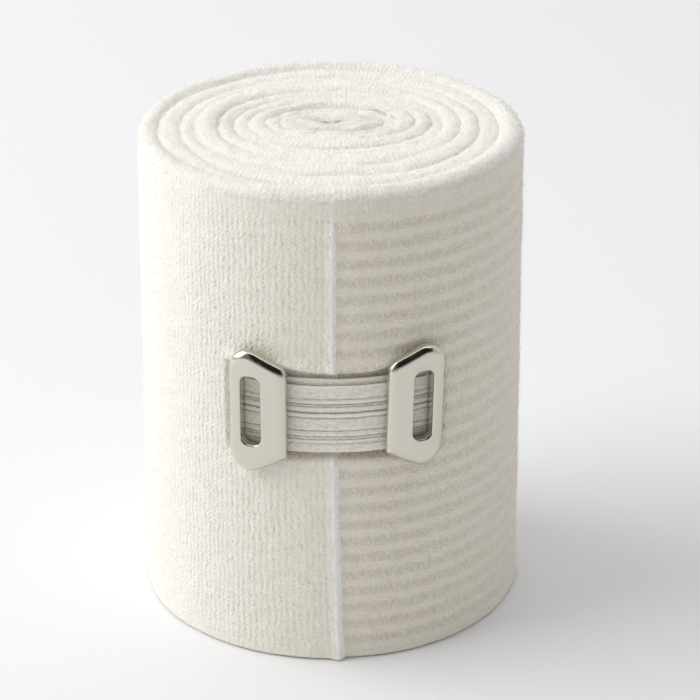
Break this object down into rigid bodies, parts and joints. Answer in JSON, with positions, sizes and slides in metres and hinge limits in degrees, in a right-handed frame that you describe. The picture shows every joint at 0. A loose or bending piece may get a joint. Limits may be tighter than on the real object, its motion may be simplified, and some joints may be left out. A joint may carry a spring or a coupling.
{
  "type": "zinc oxide bandage roll",
  "caption": "Thick white elastic crepe bandage wound into a roll, standing on end, its free end held by a stretch strap clip with slotted polished metal plates.",
  "frame": {"origin": "middle of the roll's underside, on the roll's axis, on the surface it stands on", "axes": "+Z along the roll's axis, upward; the clip and the bandage's free end face -Y, so the roll's right side seen from there is +X"},
  "size_m": [0.0626, 0.0635, 0.08],
  "materials": {
    "bandage_cloth": "fluffy white crepe knit with lengthwise ribs",
    "strap_elastic": "ribbed light grey elastic",
    "clip_metal": "polished nickel"
  },
  "bodies": {
    "root": {"bandage_roll": "bandage_cloth", "clip_strap": "strap_elastic", "clip_plate_left": "clip_metal", "clip_plate_right": "clip_metal"}
  },
  "joints": []
}
